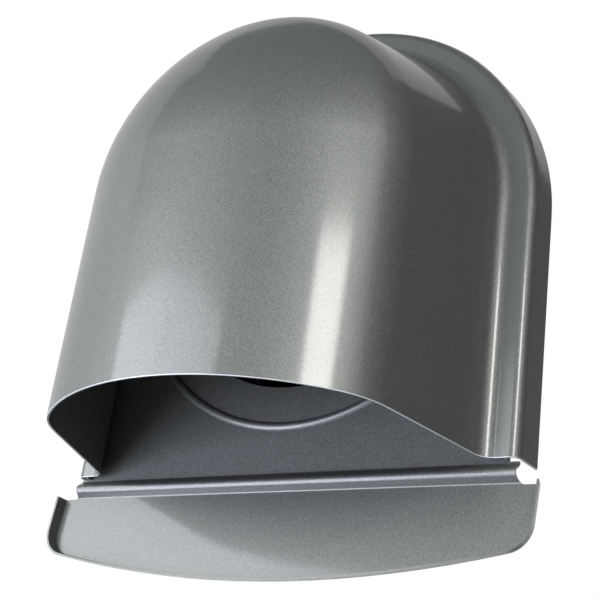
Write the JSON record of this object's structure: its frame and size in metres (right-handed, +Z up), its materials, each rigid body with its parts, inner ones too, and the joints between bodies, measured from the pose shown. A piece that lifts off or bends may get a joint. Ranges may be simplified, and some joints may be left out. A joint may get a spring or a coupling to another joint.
{
  "type": "vent cap",
  "caption": "Wall vent cap with a deep domed hood open at the bottom, a back plate with a drip apron, and a round collar that fits into a duct.",
  "frame": {"origin": "on the duct axis, where it meets the wall plane that the hood's return stands on", "axes": "+Y along the duct axis into the wall, +Z up, the hood stands out towards -Y"},
  "size_m": [0.1588, 0.1038, 0.1813],
  "materials": {
    "metallic_paint": "satin metallic grey paint with a fine flake",
    "bare_steel": "plain rolled sheet"
  },
  "bodies": {
    "root": {"hood": "metallic_paint", "back_plate": "metallic_paint", "duct_collar": "bare_steel"}
  },
  "joints": []
}
